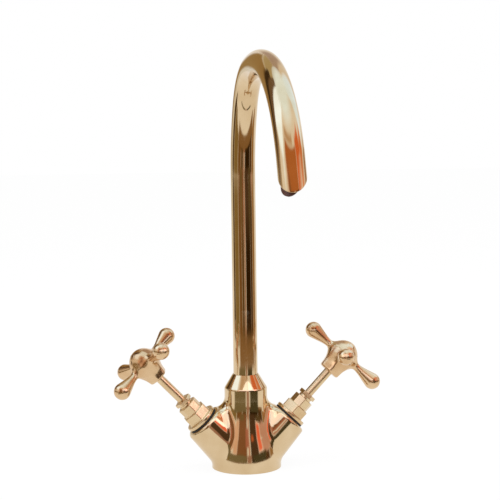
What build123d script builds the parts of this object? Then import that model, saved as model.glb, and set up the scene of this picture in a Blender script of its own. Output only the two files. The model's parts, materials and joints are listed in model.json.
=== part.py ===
from build123d import *
import math
import os

# A deck-mounted single-hole basin mixer in brass: a cast body with two leaning valve arms,
# a swivelling gooseneck spout and two rising-spindle valves with cross handles.
# Millimetres. The origin is the centre of the base's underside, +Z is up, the spout points to -Y,
# and the valves lean out in the XZ plane, left to -X and right to +X.

os.makedirs("parts", exist_ok=True)

# Fits: gaps on the radius, or between two faces
running_gap = 0.05
screwed_gap = 0.05
soft_gap = 0.08

# Body casting
base_radius = 25.4
base_edge = 0.8
bell_height = 50.0
waist_radius = 15.6
waist_height = 58.5
shoulder_edge = 2.5
rim_height = 68.5
rim_wall = 0.5
valley_radius = 8.0

# Valve arms of the body, along their own axis, which leans from the vertical
arm_lean = 43.7
arm_axis_height = 2.1
arm_length = 45.9
arm_start = 12.0
arm_root_radius = 17.5
arm_end_radius = 15.0
arm_edge = 2.5

# Underside of the body: two tails, one stud and a seal
tail_spacing = 18.0
tail_thread_radius = 4.5
tail_thread_depth = 9.0
stud_offset = 14.5
stud_thread_radius = 3.4
stud_thread_depth = 10.0
seal_radius = 21.5
seal_width = 3.0
seal_depth = 2.0

# Waterways in the body
supply_radius = 4.0
seat_reach = 27.6
seat_height = 3.6
seat_bore_radius = 4.6
seat_lip = 1.8
chamber_radius = 9.5
port_radius = 3.0

# Spout
tube_radius = 8.9
tube_wall = 1.2
bend_start = 213.1
bend_rise_radius = 112.8
bend_rise_angle = 25.8
bend_crown_radius = 46.2
bend_crown_angle = 54.9
bend_fall_radius = 98.4
bend_fall_angle = 79.6
tail_length = 22.0
mouth_slant = 54.0
tube_socket_depth = 5.0
slip_ring_thickness = 1.0
spigot_radius = 7.5
spigot_bore_radius = 5.0
spigot_length = 23.5
spigot_plug_length = 12.0
spigot_end_room = 1.05
seal_section = 1.85
seal_squeeze_room = 0.03
seal_groove_width = 2.6
seal_groove_drops = (5.5, 12.5)
keeper_groove_drop = 18.5
keeper_groove_width = 3.4
keeper_groove_depth = 1.5
keeper_radius = 2.5
keeper_tip_radius = 1.4
keeper_recess = 1.0
keeper_key = 2.5
keeper_clearance = 0.3

# Aerator in the spout's end, with the mouth's slant, screwed in to stand proud at the left
aerator_turn = -22.0
aerator_proud = 2.8
aerator_depth = 4.0
aerator_wall = 1.2
aerator_lip = 1.0
screen_thickness = 1.6
screen_hole_radius = 0.8
screen_pitch = 2.4
screen_rings = 2
aerator_washer_thickness = 1.5
aerator_washer_width = 2.0
aerator_thread_depth = 0.5

# Bonnet, screwed into the arm over a gasket
valve_thread_radius = 10.5
gasket_thickness = 1.1
gasket_radius = 11.8
flange_radius = 12.0
flange_thickness = 2.7
flange_chamfer = 0.6
lower_hex_flats = 17.4
lower_hex_height = 6.7
upper_tier_flats = 14.2
upper_tier_height = 7.1
tier_chamfer = 0.6
barrel_length = 13.0
packing_depth = 4.5
packing_radius = 5.1
web_thickness = 1.5

# Gland nut, which presses the packing round the stem
gland_nose_length = 1.5
gland_neck_height = 1.9
gland_flats = 11.6
gland_height = 2.9
gland_chamfer = 0.3

# Spindle and its jumper, with the valve closed
valve_lift = 5.0
jumper_clearance = 0.7
spindle_thread_radius = 5.0
spindle_thread_length = 13.0
spindle_thread_chamfer = 0.4
stem_radius = 3.2
stem_flat_depth = 0.8
stem_flat_length = 9.0
jumper_radius = 6.3
jumper_thickness = 2.0
jumper_pin_radius = 2.0
jumper_pin_length = 5.0
jumper_tail_radius = 1.5
washer_thickness = 3.4
jumper_nut_flats = 5.5
jumper_nut_height = 2.0
jumper_tail_proud = 0.4

# Cross handle, about the plane of its four arms
hub_reach = 106.4
dome_radius = 10.3
dome_drop = 0.4
neck_top_drop = 2.0
neck_top_flats = 17.8
neck_low_flats = 14.0
collar_flats = 15.0
collar_height = 2.7
hub_turn = 30.0
hub_drop = 16.0
handle_arm_reach = 29.0
handle_ball_radius = 6.0
handle_neck_radius = 2.7
handle_neck_reach = 11.5
handle_root_radius = 1.2
stem_socket_top = 1.0
handle_screw_radius = 2.0
handle_screw_drop = 2.0
handle_screw_inset = 0.8
handle_screw_key = 2.0
handle_screw_turn = 135.0

# How each side stands at rest, in degrees about its own valve axis
sides = {"left": -1, "right": 1}
handle_turn = {"left": 31.0, "right": -12.1}
bonnet_turn = {"left": 30.0, "right": 15.0}
upper_tier_turn = 22.5
gland_turn = 30.0


# Sizes that follow
tube_bore_radius = tube_radius - tube_wall
bell_middle = ((base_radius + waist_radius) / 2, bell_height / 2)
tube_socket_radius = tube_radius + 2 * running_gap
rim_radius = tube_socket_radius + rim_wall
socket_radius = spigot_radius + 2 * running_gap
socket_floor = rim_height - tube_socket_depth
tube_foot = socket_floor + slip_ring_thickness + running_gap
spigot_foot = tube_foot - spigot_length
mixing_floor = spigot_foot - spigot_end_room
chamber_floor = seat_reach - seat_height
flange_foot = arm_length + gasket_thickness
barrel_foot = flange_foot - barrel_length
lower_hex_top = flange_foot + flange_thickness + lower_hex_height
bonnet_top = lower_hex_top + upper_tier_height
packing_floor = bonnet_top - packing_depth
thread_bore_top = packing_floor - web_thickness
washer_top = seat_reach + washer_thickness
spindle_foot = washer_top + jumper_thickness
stem_top = hub_reach + stem_socket_top
recess_radius = jumper_radius + jumper_clearance
recess_top = spindle_foot + valve_lift + jumper_clearance
gland_foot = bonnet_top + gland_neck_height
gland_top = gland_foot + gland_height
supply_reach = tail_spacing / 2 / math.sin(math.radians(arm_lean))
tail_riser_top = arm_axis_height + supply_reach * math.cos(math.radians(arm_lean)) + supply_radius / 2
tail_places = (-tail_spacing / 2, tail_spacing / 2)
chamber_top = barrel_foot - seat_lip / 2
port_reach = (seat_reach + chamber_top) / 2
keeper_height = tube_foot - keeper_groove_drop
stem_hole_radius = stem_radius + running_gap
thread_bore_radius = spindle_thread_radius + running_gap
seal_radius_middle = socket_radius - seal_squeeze_room - seal_section / 2
seal_groove_floor = socket_radius - seal_section - 2 * seal_squeeze_room
keeper_groove_floor = spigot_radius - keeper_groove_depth
keeper_tip_reach = keeper_groove_floor + keeper_clearance
aerator_radius = tube_bore_radius + aerator_thread_depth - screwed_gap
screen_radius = aerator_radius - aerator_wall - soft_gap
mouth_room = 4 * tube_radius
screen_floor = 2 * tube_radius * math.tan(math.radians(mouth_slant)) + aerator_lip
aerator_top = screen_floor + aerator_depth
neck_foot = collar_height - hub_drop
handle_root = math.sqrt(dome_radius**2 - (handle_neck_radius + handle_root_radius) ** 2)


def valve_plane(side, reach=0.0):
    """The plane across a valve arm's axis, its Z pointing out and its X pointing up and inwards."""
    lean = math.radians(arm_lean)
    sign = sides[side]
    across = Plane(
        origin=(0, 0, arm_axis_height),
        x_dir=(-sign * math.cos(lean), 0, math.sin(lean)),
        z_dir=(sign * math.sin(lean), 0, math.cos(lean)),
    )
    return across.offset(reach)


def valve_axis(side):
    """The axis that a valve turns and rises on."""
    across = valve_plane(side)
    return Axis(across.origin, across.z_dir)


def axial_plane(side):
    """The plane along a valve's axis, its X to the back and its Y along the axis."""
    across = valve_plane(side)
    return Plane(origin=across.origin, x_dir=(0, 1, 0), z_dir=Vector(0, 1, 0).cross(across.z_dir))


def slanted(across, drop=0.0):
    """The slanted plane of a spout's end, through its front lip and up towards the riser."""
    return Plane(across.location * Location((0, -tube_radius, -drop), (mouth_slant, 0, 0)))


def bell_radius(height):
    """The body's radius at a height over the bell's middle, on its upper arc."""
    rise = bell_height / 2
    run = (base_radius - waist_radius) / 2
    arc_radius = (rise**2 + run**2) / (2 * run)
    return waist_radius + arc_radius - math.sqrt(arc_radius**2 - (bell_height - height) ** 2)


def ring(plane, outer, inner, thickness):
    """A flat ring that stands on a plane."""
    with BuildPart() as made:
        with BuildSketch(plane):
            Circle(outer)
            Circle(inner, mode=Mode.SUBTRACT)
        extrude(amount=thickness)
    return made.part


def hexagon(flats, turn=0.0):
    """A hexagon with a corner on X before its turn, by the width across its flats."""
    return RegularPolygon(flats / 2, 6, major_radius=False, rotation=turn)


def export(piece, label):
    """Names a finished piece and writes its file."""
    piece.label = label
    export_step(piece, f"parts/{label}.step")


def export_on_valve(piece, name, side, turn=0.0, reach=0.0):
    """Stands a piece that was made upright on one valve's axis, turned about it, and writes it."""
    standing = valve_plane(side, reach).location * Location((0, 0, 0), (0, 0, turn))
    export(piece.moved(standing), f"{name}_{side}")


# Body casting: a bell with a conical shoulder, two arms blended into it, then every bore
with BuildPart() as mixer_body:
    with BuildSketch(Plane.YZ) as bell_outline:
        with BuildLine():
            Line((0, 0), (base_radius, 0))
            TangentArc((base_radius, 0), bell_middle, tangent=(0, 1))
            TangentArc((waist_radius, bell_height), bell_middle, tangent=(0, -1))
            Polyline(
                (waist_radius, bell_height),
                (waist_radius, waist_height),
                (rim_radius, rim_height),
                (0, rim_height),
                (0, 0),
            )
        make_face()
        corners = bell_outline.vertices()
        fillet(corners.sort_by_distance((waist_radius, waist_height))[0], shoulder_edge)
        fillet(corners.sort_by_distance((base_radius, 0))[0], base_edge)
    revolve(axis=Axis.Z)
    for side in sides:
        with BuildSketch(axial_plane(side)) as arm_outline:
            with BuildLine():
                Polyline(
                    (0, arm_start),
                    (arm_root_radius, arm_start),
                    (arm_end_radius, arm_length),
                    (0, arm_length),
                    (0, arm_start),
                )
            make_face()
            rim_corner = arm_outline.vertices().sort_by_distance((arm_end_radius, arm_length))[0]
            fillet(rim_corner, arm_edge)
        revolve(axis=valve_axis(side))
    split(bisect_by=Plane.XY, keep=Keep.TOP)
    fillet(mixer_body.edges().filter_by(GeomType.BSPLINE), valley_radius)

    # The spout's socket, with a wider step that takes the tube's foot
    with Locations(Plane.XY.offset(rim_height).location):
        CounterBoreHole(
            socket_radius, tube_socket_radius, tube_socket_depth, rim_height - mixing_floor
        )

    # Each valve's stepped bore with its raised seat, and the port to the mixing chamber
    for side in sides:
        with BuildSketch(axial_plane(side)):
            with BuildLine():
                Polyline(
                    (0, supply_reach),
                    (supply_radius, supply_reach),
                    (supply_radius, chamber_floor),
                    (seat_bore_radius, chamber_floor),
                    (seat_bore_radius, seat_reach),
                    (seat_bore_radius + seat_lip, seat_reach),
                    (seat_bore_radius + seat_lip, chamber_floor),
                    (chamber_radius, chamber_floor),
                    (chamber_radius, chamber_top),
                    (valve_thread_radius, chamber_top),
                    (valve_thread_radius, arm_length + arm_edge),
                    (0, arm_length + arm_edge),
                    (0, supply_reach),
                )
            make_face()
        revolve(axis=valve_axis(side), mode=Mode.SUBTRACT)
        port_start = Vector(0, 0, mixing_floor + port_radius)
        port_end = valve_plane(side).from_local_coords((chamber_radius, 0, port_reach))
        with BuildSketch(Plane(origin=port_start, z_dir=port_end - port_start)):
            Circle(port_radius)
        extrude(amount=(port_end - port_start).length + port_radius / 2, mode=Mode.SUBTRACT)

    # Underside: a threaded hole and riser for each tail, the stud's hole and the seal's groove
    with Locations(*(Location((x, 0, 0), (180, 0, 0)) for x in tail_places)):
        CounterBoreHole(supply_radius, tail_thread_radius, tail_thread_depth, tail_riser_top)
    with Locations(Location((0, stud_offset, 0), (180, 0, 0))):
        Hole(stud_thread_radius, stud_thread_depth)
    with BuildSketch():
        Circle(seal_radius + seal_width / 2)
        Circle(seal_radius - seal_width / 2, mode=Mode.SUBTRACT)
    extrude(amount=seal_depth, mode=Mode.SUBTRACT)

    # The keeper screw's hole, in the back
    with BuildSketch(Plane(origin=(0, 0, keeper_height), z_dir=(0, 1, 0))):
        Circle(keeper_radius + screwed_gap)
    extrude(amount=base_radius, mode=Mode.SUBTRACT)
export(mixer_body.part, "mixer_body")

# Base seal: a square-section rubber ring, flush with the underside
with BuildPart() as base_seal:
    with BuildSketch():
        Circle(seal_radius + seal_width / 2 - soft_gap)
        Circle(seal_radius - seal_width / 2 + soft_gap, mode=Mode.SUBTRACT)
    extrude(amount=seal_depth)
export(base_seal.part, "base_seal")


# Slip ring: the thin plastic washer that the spout's foot turns on, seen as a dark line
slip_ring_plane = Plane.XY.offset(socket_floor)
slip_ring_inner = socket_radius + soft_gap
export(ring(slip_ring_plane, tube_radius, slip_ring_inner, slip_ring_thickness), "spout_slip_ring")

# Keeper screw: its tip stands in the spigot's groove, so the spout turns but can't lift out
keeper_plane = Plane(origin=(0, 0, keeper_height), z_dir=(0, 1, 0))
keeper_end = bell_radius(keeper_height) - keeper_recess
with BuildPart() as keeper_screw:
    with BuildSketch(keeper_plane.offset(keeper_tip_reach)):
        Circle(keeper_tip_radius)
    extrude(amount=socket_radius - keeper_tip_reach)
    with BuildSketch(keeper_plane.offset(socket_radius)):
        Circle(keeper_radius)
    extrude(amount=keeper_end - socket_radius)
    with BuildSketch(keeper_plane.offset(keeper_end)):
        hexagon(keeper_key)
    extrude(amount=-keeper_key, mode=Mode.SUBTRACT)
export(keeper_screw.part, "spout_keeper_screw")

# Spout tube: riser, a bend in three arcs and a straight tail, its mouth cut on a slant
with BuildPart() as spout_tube:
    with BuildLine(Plane.YZ) as spout_route:
        riser = Line((0, tube_foot), (0, bend_start))
        rise = JernArc(riser @ 1, riser % 1, bend_rise_radius, bend_rise_angle)
        crown = JernArc(rise @ 1, rise % 1, bend_crown_radius, bend_crown_angle)
        fall = JernArc(crown @ 1, crown % 1, bend_fall_radius, bend_fall_angle)
        tail = Line(fall @ 1, fall @ 1 + tail_length * (fall % 1))
    with BuildSketch(Plane.XY.offset(tube_foot)):
        Circle(tube_radius)
        Circle(tube_bore_radius, mode=Mode.SUBTRACT)
    sweep(path=spout_route.wires()[0])

    spout_tip = Plane(origin=tail @ 1, x_dir=(1, 0, 0), z_dir=-(tail % 1))
    with BuildSketch(slanted(spout_tip)):
        Rectangle(mouth_room, 2 * mouth_room)
    extrude(amount=-mouth_room, mode=Mode.SUBTRACT)

    # The aerator's thread, up to the washer's seat
    with BuildSketch(spout_tip):
        Circle(aerator_radius + screwed_gap)
    extrude(amount=aerator_top + aerator_washer_thickness, mode=Mode.SUBTRACT)
export(spout_tube.part, "spout_tube")

# Spigot: soldered into the tube's foot, it turns in the body's socket and lets the water up
spigot_top = tube_foot + spigot_plug_length
with BuildPart() as spout_spigot:
    with BuildSketch(Plane.XY.offset(spigot_foot)):
        Circle(spigot_radius)
    extrude(amount=spigot_length)
    with BuildSketch(Plane.XY.offset(tube_foot)):
        Circle(tube_bore_radius - screwed_gap)
    extrude(amount=spigot_plug_length)
    for drop in seal_groove_drops:
        with BuildSketch(Plane.XY.offset(tube_foot - drop - seal_groove_width / 2)):
            Circle(tube_radius)
            Circle(seal_groove_floor, mode=Mode.SUBTRACT)
        extrude(amount=seal_groove_width, mode=Mode.SUBTRACT)
    with BuildSketch(Plane.XY.offset(keeper_height - keeper_groove_width / 2)):
        Circle(tube_radius)
        Circle(keeper_groove_floor, mode=Mode.SUBTRACT)
    extrude(amount=keeper_groove_width, mode=Mode.SUBTRACT)
    with Locations((0, 0, spigot_top)):
        Hole(spigot_bore_radius)
export(spout_spigot.part, "spout_spigot")

# The spigot's two O-rings
for drop, place in zip(seal_groove_drops, ("upper", "lower")):
    with BuildPart() as spout_seal:
        with BuildSketch(Plane.YZ):
            with Locations((seal_radius_middle, tube_foot - drop)):
                Circle(seal_section / 2)
        revolve(axis=Axis.Z)
    export(spout_seal.part, f"spout_seal_{place}")

# Aerator: a threaded housing, lipped inside for the screen, its end slanted like the mouth
aerator_plane = Plane(spout_tip.location * Location((0, 0, 0), (0, 0, aerator_turn)))
with BuildPart() as aerator_housing:
    with BuildSketch(aerator_plane.offset(-aerator_proud)):
        Circle(aerator_radius)
        Circle(aerator_radius - aerator_wall, mode=Mode.SUBTRACT)
    extrude(amount=aerator_proud + aerator_top)
    with BuildSketch(aerator_plane.offset(screen_floor - aerator_lip)):
        Circle(aerator_radius)
        Circle(aerator_radius - aerator_wall - aerator_lip, mode=Mode.SUBTRACT)
    extrude(amount=aerator_lip)
    with BuildSketch(slanted(aerator_plane, aerator_proud)):
        Rectangle(mouth_room, 2 * mouth_room)
    extrude(amount=-mouth_room, mode=Mode.SUBTRACT)
export(aerator_housing.part, "aerator_housing")

# The aerator's screen: a disc on the housing's lip, holed in rings about a middle hole
with BuildPart() as aerator_screen:
    with BuildSketch(aerator_plane.offset(screen_floor)):
        Circle(screen_radius)
        Circle(screen_hole_radius, mode=Mode.SUBTRACT)
        for count in range(1, screen_rings + 1):
            with PolarLocations(count * screen_pitch, 6 * count):
                Circle(screen_hole_radius, mode=Mode.SUBTRACT)
    extrude(amount=screen_thickness)
export(aerator_screen.part, "aerator_screen")

# The washer that the aerator is screwed up against
washer_plane = aerator_plane.offset(aerator_top)
washer_inner = aerator_radius - aerator_washer_width
export(ring(washer_plane, aerator_radius, washer_inner, aerator_washer_thickness), "aerator_washer")

# Bonnet: threaded barrel, round flange, hexagon tier and octagon tier, bored for the spindle
with BuildPart() as bonnet:
    with BuildSketch(Plane.XY.offset(barrel_foot)):
        Circle(valve_thread_radius - screwed_gap)
    extrude(amount=barrel_length)
    with BuildSketch(Plane.XY.offset(flange_foot)):
        Circle(flange_radius)
    extrude(amount=flange_thickness)
    chamfer(bonnet.edges().group_by(Axis.Z)[-1], flange_chamfer)
    with BuildSketch(Plane.XY.offset(flange_foot + flange_thickness)):
        hexagon(lower_hex_flats)
    extrude(amount=lower_hex_height)
    chamfer(bonnet.edges().group_by(Axis.Z)[-1], tier_chamfer)
    with BuildSketch(Plane.XY.offset(lower_hex_top)):
        RegularPolygon(upper_tier_flats / 2, 8, major_radius=False, rotation=upper_tier_turn)
    extrude(amount=upper_tier_height)
    chamfer(bonnet.edges().group_by(Axis.Z)[-1], tier_chamfer)
    with BuildSketch(Plane.XY.offset(barrel_foot)):
        Circle(recess_radius)
    extrude(amount=recess_top - barrel_foot, mode=Mode.SUBTRACT)
    with BuildSketch(Plane.XY.offset(recess_top)):
        Circle(thread_bore_radius)
    extrude(amount=thread_bore_top - recess_top, mode=Mode.SUBTRACT)
    with Locations((0, 0, bonnet_top)):
        CounterBoreHole(stem_hole_radius, packing_radius, packing_depth, bonnet_top - recess_top)

# Bonnet gasket: the black ring between flange and arm
gasket_plane = Plane.XY.offset(arm_length)
gasket = ring(gasket_plane, gasket_radius, valve_thread_radius + soft_gap, gasket_thickness)

# Gland packing round the stem, and the nut whose nose presses it
packing_outer = packing_radius - soft_gap
packing_height = packing_depth - gland_nose_length
packing = ring(
    Plane.XY.offset(packing_floor), packing_outer, stem_radius + soft_gap, packing_height
)
with BuildPart() as gland_nut:
    with BuildSketch(Plane.XY.offset(bonnet_top - gland_nose_length)):
        Circle(packing_radius - screwed_gap)
    extrude(amount=gland_nose_length + gland_neck_height)
    with BuildSketch(Plane.XY.offset(gland_foot)):
        hexagon(gland_flats)
    extrude(amount=gland_height)
    chamfer(gland_nut.edges().group_by(Axis.Z)[-1], gland_chamfer)
    with Locations((0, 0, gland_top)):
        Hole(stem_hole_radius)

# Spindle: its thread lifts the stem, whose flat takes the handle's screw
with BuildPart() as spindle:
    with BuildSketch(Plane.XY.offset(spindle_foot)):
        Circle(spindle_thread_radius)
    extrude(amount=spindle_thread_length)
    chamfer(spindle.edges().filter_by(GeomType.CIRCLE), spindle_thread_chamfer)
    with BuildSketch(Plane.XY.offset(spindle_foot)):
        Circle(stem_radius)
    extrude(amount=stem_top - spindle_foot)
    flat_plane = Plane.XY.offset(stem_top).rotated((0, 0, handle_screw_turn))
    with BuildSketch(flat_plane):
        with Locations((stem_radius - stem_flat_depth, 0)):
            Rectangle(stem_radius, 2 * stem_radius, align=(Align.MIN, Align.CENTER))
    extrude(amount=-stem_flat_length, mode=Mode.SUBTRACT)
    with Locations(Location((0, 0, spindle_foot), (180, 0, 0))):
        Hole(jumper_pin_radius + running_gap, jumper_pin_length + jumper_clearance)

# Jumper: the disc under the spindle, with a pin up into it and a threaded tail below
with BuildPart() as jumper:
    with BuildSketch(Plane.XY.offset(washer_top)):
        Circle(jumper_radius)
    extrude(amount=jumper_thickness)
    with BuildSketch(Plane.XY.offset(spindle_foot)):
        Circle(jumper_pin_radius)
    extrude(amount=jumper_pin_length)
    tail_foot = seat_reach - jumper_nut_height - jumper_tail_proud
    with BuildSketch(Plane.XY.offset(tail_foot)):
        Circle(jumper_tail_radius)
    extrude(amount=washer_top - tail_foot)

# The washer that closes on the seat, and the nut that holds it on the jumper
tail_hole_radius = jumper_tail_radius + screwed_gap
washer = ring(Plane.XY.offset(seat_reach), jumper_radius, tail_hole_radius, washer_thickness)
with BuildPart() as jumper_nut:
    with BuildSketch(Plane.XY.offset(seat_reach)):
        hexagon(jumper_nut_flats)
        Circle(tail_hole_radius, mode=Mode.SUBTRACT)
    extrude(amount=-jumper_nut_height)

# One arm of the cross handle: flared out of the hub, then a teardrop that ends in a ball
with BuildPart() as handle_arm:
    with BuildSketch():
        with BuildLine():
            to_ball = math.hypot(handle_arm_reach - handle_neck_reach, handle_neck_radius)
            ball_dip = math.asin(handle_ball_radius / to_ball)
            ball_dip -= math.asin(handle_neck_radius / to_ball)
            side_length = math.sqrt(to_ball**2 - handle_ball_radius**2)
            Line((0, 0), (0, handle_neck_radius + handle_root_radius))
            Line(
                (0, handle_neck_radius + handle_root_radius),
                (handle_root, handle_neck_radius + handle_root_radius),
            )
            TangentArc(
                (handle_neck_reach, handle_neck_radius),
                (handle_root, handle_neck_radius + handle_root_radius),
                tangent=(-1, 0),
            )
            taper = PolarLine(
                (handle_neck_reach, handle_neck_radius), side_length, math.degrees(ball_dip)
            )
            TangentArc(
                taper @ 1, (handle_arm_reach + handle_ball_radius, 0), tangent=taper % 1
            )
            Line((handle_arm_reach + handle_ball_radius, 0), (0, 0))
        make_face()
    revolve(axis=Axis.X)

# Cross handle: a dome over a tapered hexagon neck with a collar, bored for the stem
screw_plane = Plane(
    origin=(0, 0, -handle_screw_drop),
    z_dir=Vector(1, 0, 0).rotate(Axis.Z, handle_screw_turn),
)
with BuildPart() as handle:
    with Locations((0, 0, -dome_drop)):
        Sphere(dome_radius)
    split(bisect_by=Plane.XY.offset(-neck_top_drop), keep=Keep.TOP)
    with BuildSketch(Plane.XY.offset(-neck_top_drop)):
        hexagon(neck_top_flats, hub_turn)
    with BuildSketch(Plane.XY.offset(neck_foot)):
        hexagon(neck_low_flats, hub_turn)
    loft()
    with BuildSketch(Plane.XY.offset(-hub_drop)):
        hexagon(collar_flats, hub_turn)
    extrude(amount=collar_height)
    with PolarLocations(0, 4):
        add(handle_arm.part)
    with BuildSketch(Plane.XY.offset(-hub_drop)):
        Circle(stem_radius + running_gap)
    extrude(amount=hub_drop + stem_socket_top + running_gap, mode=Mode.SUBTRACT)
    with BuildSketch(screw_plane):
        Circle(handle_screw_radius + screwed_gap)
    extrude(amount=dome_radius, mode=Mode.SUBTRACT)

# The handle's grub screw, down on the stem's flat
screw_start = stem_radius - stem_flat_depth + screwed_gap
screw_end = neck_top_flats / 2 - handle_screw_inset
with BuildPart() as handle_screw:
    with BuildSketch(screw_plane.offset(screw_start)):
        Circle(handle_screw_radius)
    extrude(amount=screw_end - screw_start)
    with BuildSketch(screw_plane.offset(screw_end)):
        hexagon(handle_screw_key)
    extrude(amount=-handle_screw_key, mode=Mode.SUBTRACT)

# Both valves, each on its own leaning axis
for side in sides:
    export_on_valve(bonnet.part, "bonnet", side, bonnet_turn[side])
    export_on_valve(gasket, "bonnet_gasket", side)
    export_on_valve(packing, "gland_packing", side)
    export_on_valve(gland_nut.part, "gland_nut", side, bonnet_turn[side] + gland_turn)
    export_on_valve(spindle.part, "spindle", side, handle_turn[side])
    export_on_valve(jumper.part, "jumper", side)
    export_on_valve(washer, "jumper_washer", side)
    export_on_valve(jumper_nut.part, "jumper_nut", side)
    export_on_valve(handle.part, "handle", side, handle_turn[side], hub_reach)
    export_on_valve(handle_screw.part, "handle_screw", side, handle_turn[side], hub_reach)
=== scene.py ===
import json
import math

import bmesh
import bpy
import numpy as np
from bpy.props import FloatProperty, FloatVectorProperty, PointerProperty
from mathutils import Matrix, Vector


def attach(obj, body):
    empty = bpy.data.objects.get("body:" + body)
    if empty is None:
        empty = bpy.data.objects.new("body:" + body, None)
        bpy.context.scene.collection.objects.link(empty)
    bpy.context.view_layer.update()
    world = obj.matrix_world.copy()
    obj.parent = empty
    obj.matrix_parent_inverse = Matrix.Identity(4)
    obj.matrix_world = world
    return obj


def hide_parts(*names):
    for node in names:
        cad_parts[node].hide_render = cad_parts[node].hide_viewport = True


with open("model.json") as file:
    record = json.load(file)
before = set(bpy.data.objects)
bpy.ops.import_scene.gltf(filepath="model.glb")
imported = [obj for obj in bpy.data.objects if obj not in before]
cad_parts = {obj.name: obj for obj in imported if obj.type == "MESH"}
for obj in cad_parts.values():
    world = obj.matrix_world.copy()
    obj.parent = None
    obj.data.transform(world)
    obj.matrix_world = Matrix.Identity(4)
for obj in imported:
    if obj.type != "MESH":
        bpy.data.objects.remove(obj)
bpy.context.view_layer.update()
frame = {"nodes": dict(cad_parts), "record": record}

bl_info = {
    "name": "Basin mixer tap",
    "version": (1, 0, 0),
    "blender": (4, 5, 0),
    "location": "3D View > Sidebar > Tap",
    "description": "Dresses a brass basin mixer with a gooseneck spout and cross handles, and lights it",
    "category": "Add Mesh",
}

MM = 0.001
SIDES = {"left": -1, "right": 1}

# Where the solids stand, in millimetres, and how far the valve arms lean from the upright
ARM_LEAN = math.radians(43.7)
ARM_AXIS_HEIGHT = 2.1
ARM_LENGTH = 45.9
HUB_REACH = 106.4


# Small helpers for nodes, meshes and places


def linear(hex_colour):
    """An sRGB hex colour as the linear RGB that shaders take."""
    channels = [int(hex_colour[i : i + 2], 16) / 255 for i in (1, 3, 5)]
    return tuple(c / 12.92 if c <= 0.04045 else ((c + 0.055) / 1.055) ** 2.4 for c in channels)


def add_node(tree, kind, inputs=None, links=None, **settings):
    """Adds one node, with its properties, its input values and what its inputs are linked to."""
    made = tree.nodes.new(kind)
    for key, value in settings.items():
        setattr(made, key, value)
    for key, value in (inputs or {}).items():
        made.inputs[key].default_value = value
    for key, socket in (links or {}).items():
        tree.links.new(socket, made.inputs[key])
    return made


def mesh_object(name, verts, faces, material):
    """A new mesh object at the origin, its place in its mesh."""
    mesh = bpy.data.meshes.new(name)
    mesh.from_pydata(verts, [], faces)
    mesh.update()
    made = bpy.data.objects.new(name, mesh)
    made.data.materials.append(material)
    bpy.context.scene.collection.objects.link(made)
    return made


def valve_frame(side, reach=0.0, turn=0.0):
    """The frame across a valve's axis, in millimetres: Z out along it, X up and inwards."""
    sign = SIDES[side]
    out = Vector((sign * math.sin(ARM_LEAN), 0, math.cos(ARM_LEAN)))
    inward = Vector((-sign * math.cos(ARM_LEAN), 0, math.sin(ARM_LEAN)))
    place = Vector((0, 0, ARM_AXIS_HEIGHT)) + out * reach
    upright = Matrix((inward, out.cross(inward), out)).transposed().to_4x4()
    return Matrix.Translation(place) @ upright @ Matrix.Rotation(math.radians(turn), 4, "Z")


# Cast and turned shapes, as a distance from their surface that numpy measures at points


def blend_on(one, other, room):
    """Two shapes joined with a fillet of about that room between them."""
    share = np.clip(0.5 + 0.5 * (other - one) / room, 0, 1)
    return other * (1 - share) + one * share - room * share * (1 - share)


def within(one, other, room):
    """What is inside both shapes, its new edges eased by about that room."""
    return -blend_on(-one, -other, room)


def cut_from(one, tool, room):
    """A shape with a tool's shape cut out of it, the new edges eased."""
    return within(one, -tool, room)


def between_planes(height, low, high):
    """The slab from one height to another."""
    return np.maximum(low - height, height - high)


def many_sided(points, sides, half_flats, sharpness, turn=0.0):
    """A bar on Z with that many flats, each half_flats out, its corners a little worn."""
    bearings = np.radians(turn) + (np.arange(sides) + 0.5) * 2 * np.pi / sides
    reach = points[:, :1] * np.cos(bearings) + points[:, 1:2] * np.sin(bearings)
    near = np.maximum(reach.max(axis=1), 1e-6)
    worn = near * (np.clip(reach / near[:, None], 0, None) ** sharpness).sum(axis=1) ** (1 / sharpness)
    return worn - half_flats


def round_bar(points, radius):
    """A round bar on Z."""
    return np.hypot(points[:, 0], points[:, 1]) - radius


def teardrop(along, away, start, thin, stop, thick):
    """A round bar that swells from one radius to a ball of another."""
    length = stop - start
    lean = (thin - thick) / length
    upright = math.sqrt(1 - lean * lean)
    run = along - start
    side = -lean * away + upright * run
    body = upright * away + lean * run - thin
    small = np.hypot(away, run) - thin
    big = np.hypot(away, run - length) - thick
    return np.where(side < 0, small, np.where(side > upright * length, big, body))


def flare(along, away, start, thick, stop, thin):
    """A round bar that curves in like a trumpet from one radius to another."""
    left = np.clip((stop - along) / (stop - start), 0, 1.2)
    slope = 2 * (thick - thin) * left / (stop - start)
    side = (away - thin - (thick - thin) * left**2) / np.sqrt(1 + slope**2)
    return np.maximum(side, np.maximum(-along, along - stop))


# How often a mesh's points are drawn onto the surface
SETTLING_ROUNDS = 4


def sampled(field, axes):
    """A field's values at every corner of a grid, taken one level at a time."""
    counts = [len(axis) for axis in axes]
    values = np.empty(counts, dtype=np.float32)
    level = np.stack(np.meshgrid(axes[0], axes[1], indexing="ij"), axis=-1).reshape(-1, 2)
    for k, height in enumerate(axes[2]):
        points = np.column_stack((level, np.full(len(level), height)))
        values[:, :, k] = field(points).reshape(counts[:2])
    return values


def crossed_cells(inside):
    """The grid's cells that a surface crosses, and a grid with their numbers, -1 elsewhere."""
    counts = [count - 1 for count in inside.shape]
    corners = np.zeros(counts, dtype=np.int8)
    for i in (0, 1):
        for j in (0, 1):
            for k in (0, 1):
                corners += inside[i : i + counts[0], j : j + counts[1], k : k + counts[2]]
    crossed = (corners > 0) & (corners < 8)
    numbers = np.full(counts, -1, dtype=np.int64)
    numbers[crossed] = np.arange(crossed.sum())
    return np.argwhere(crossed), numbers


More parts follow.
